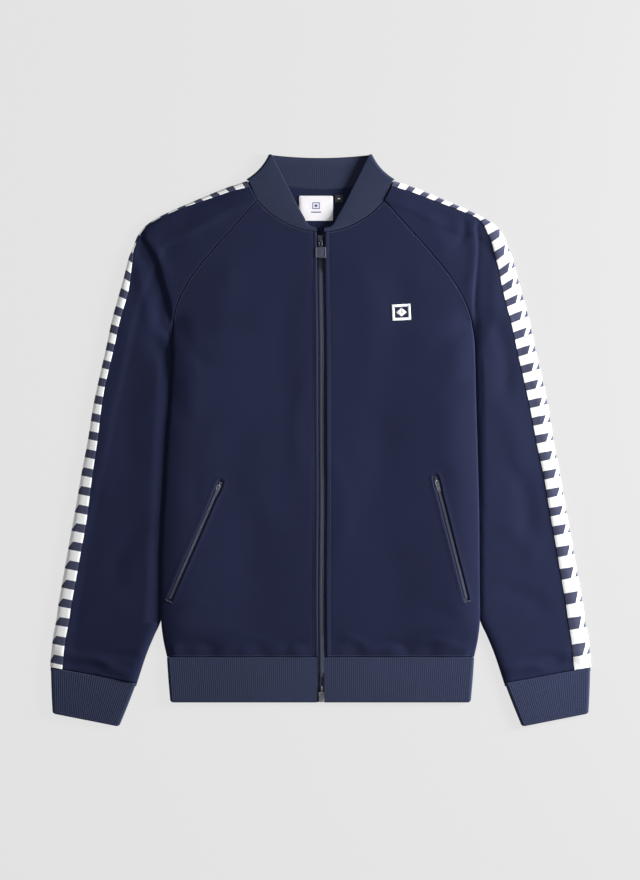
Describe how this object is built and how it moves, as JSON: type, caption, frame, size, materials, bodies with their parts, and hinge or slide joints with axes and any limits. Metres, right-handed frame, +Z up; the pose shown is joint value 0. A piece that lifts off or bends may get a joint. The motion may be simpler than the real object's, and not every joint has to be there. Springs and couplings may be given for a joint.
{
  "type": "track jacket",
  "caption": "Zip-up track jacket with raglan sleeves, ribbed collar, cuffs and hem, and a tape down each sleeve, laid flat on its back.",
  "frame": {"origin": "middle of the outline, on the surface that the jacket lies on", "axes": "+X to the wearer's left, +Y to the collar, +Z up out of the surface, from the back to the front"},
  "size_m": [0.7246, 0.7645, 0.0129],
  "materials": {
    "cloth": "dark navy double-knit jersey with a soft dry sheen",
    "rib": "navy rib knit, doubled",
    "tape": "woven white tape with navy notches along both edges",
    "zip_tape": "woven navy zip tape",
    "zip_teeth": "dark nylon zip teeth",
    "zip_metal": "dark lacquered zip metal",
    "moulding": "matte moulded pull",
    "white": "white woven satin",
    "black": "black woven tab"
  },
  "bodies": {
    "jacket": {"back_panel": "cloth", "front_l": "cloth", "front_r": "cloth", "sleeve_front_l": "cloth", "sleeve_front_r": "cloth", "sleeve_back_l": "cloth", "sleeve_back_r": "cloth", "tape_l": "tape", "tape_r": "tape", "collar": "rib", "hem_band": "rib", "cuff_l": "rib", "cuff_r": "rib", "zip_tape_l": "zip_tape", "zip_tape_r": "zip_tape", "zip_chain": "zip_teeth", "zip_slider": "zip_metal", "zip_box": "zip_metal", "pocket_tape_l": "zip_tape", "pocket_tape_r": "zip_tape", "pocket_chain_l": "zip_teeth", "pocket_chain_r": "zip_teeth", "pocket_slider_l": "zip_metal", "pocket_slider_r": "zip_metal", "badge": "white", "neck_label": "white", "size_tab": "black"},
    "front_zip_pull": {"zip_link": "zip_metal", "zip_pull": "moulding"},
    "pocket_zip_pull_l": {"pocket_pull_l": "zip_metal"},
    "pocket_zip_pull_r": {"pocket_pull_r": "zip_metal"}
  },
  "joints": [
    {"name": "front_zip_pull_turn", "type": "hinge", "parent": "jacket", "child": "front_zip_pull", "pos_m": [0, 0.268, 0.0078], "axis": [-1, 0, 0], "range_deg": [0, 150]},
    {"name": "pocket_zip_pull_l_turn", "type": "hinge", "parent": "jacket", "child": "pocket_zip_pull_l", "pos_m": [0.15463, -0.05305, 0.01074], "axis": [-0.9691, -0.2466, 0], "range_deg": [0, 150]},
    {"name": "pocket_zip_pull_r_turn", "type": "hinge", "parent": "jacket", "child": "pocket_zip_pull_r", "pos_m": [-0.1353, -0.05958, 0.0088], "axis": [-0.9165, 0.4001, 0], "range_deg": [0, 150]}
  ]
}
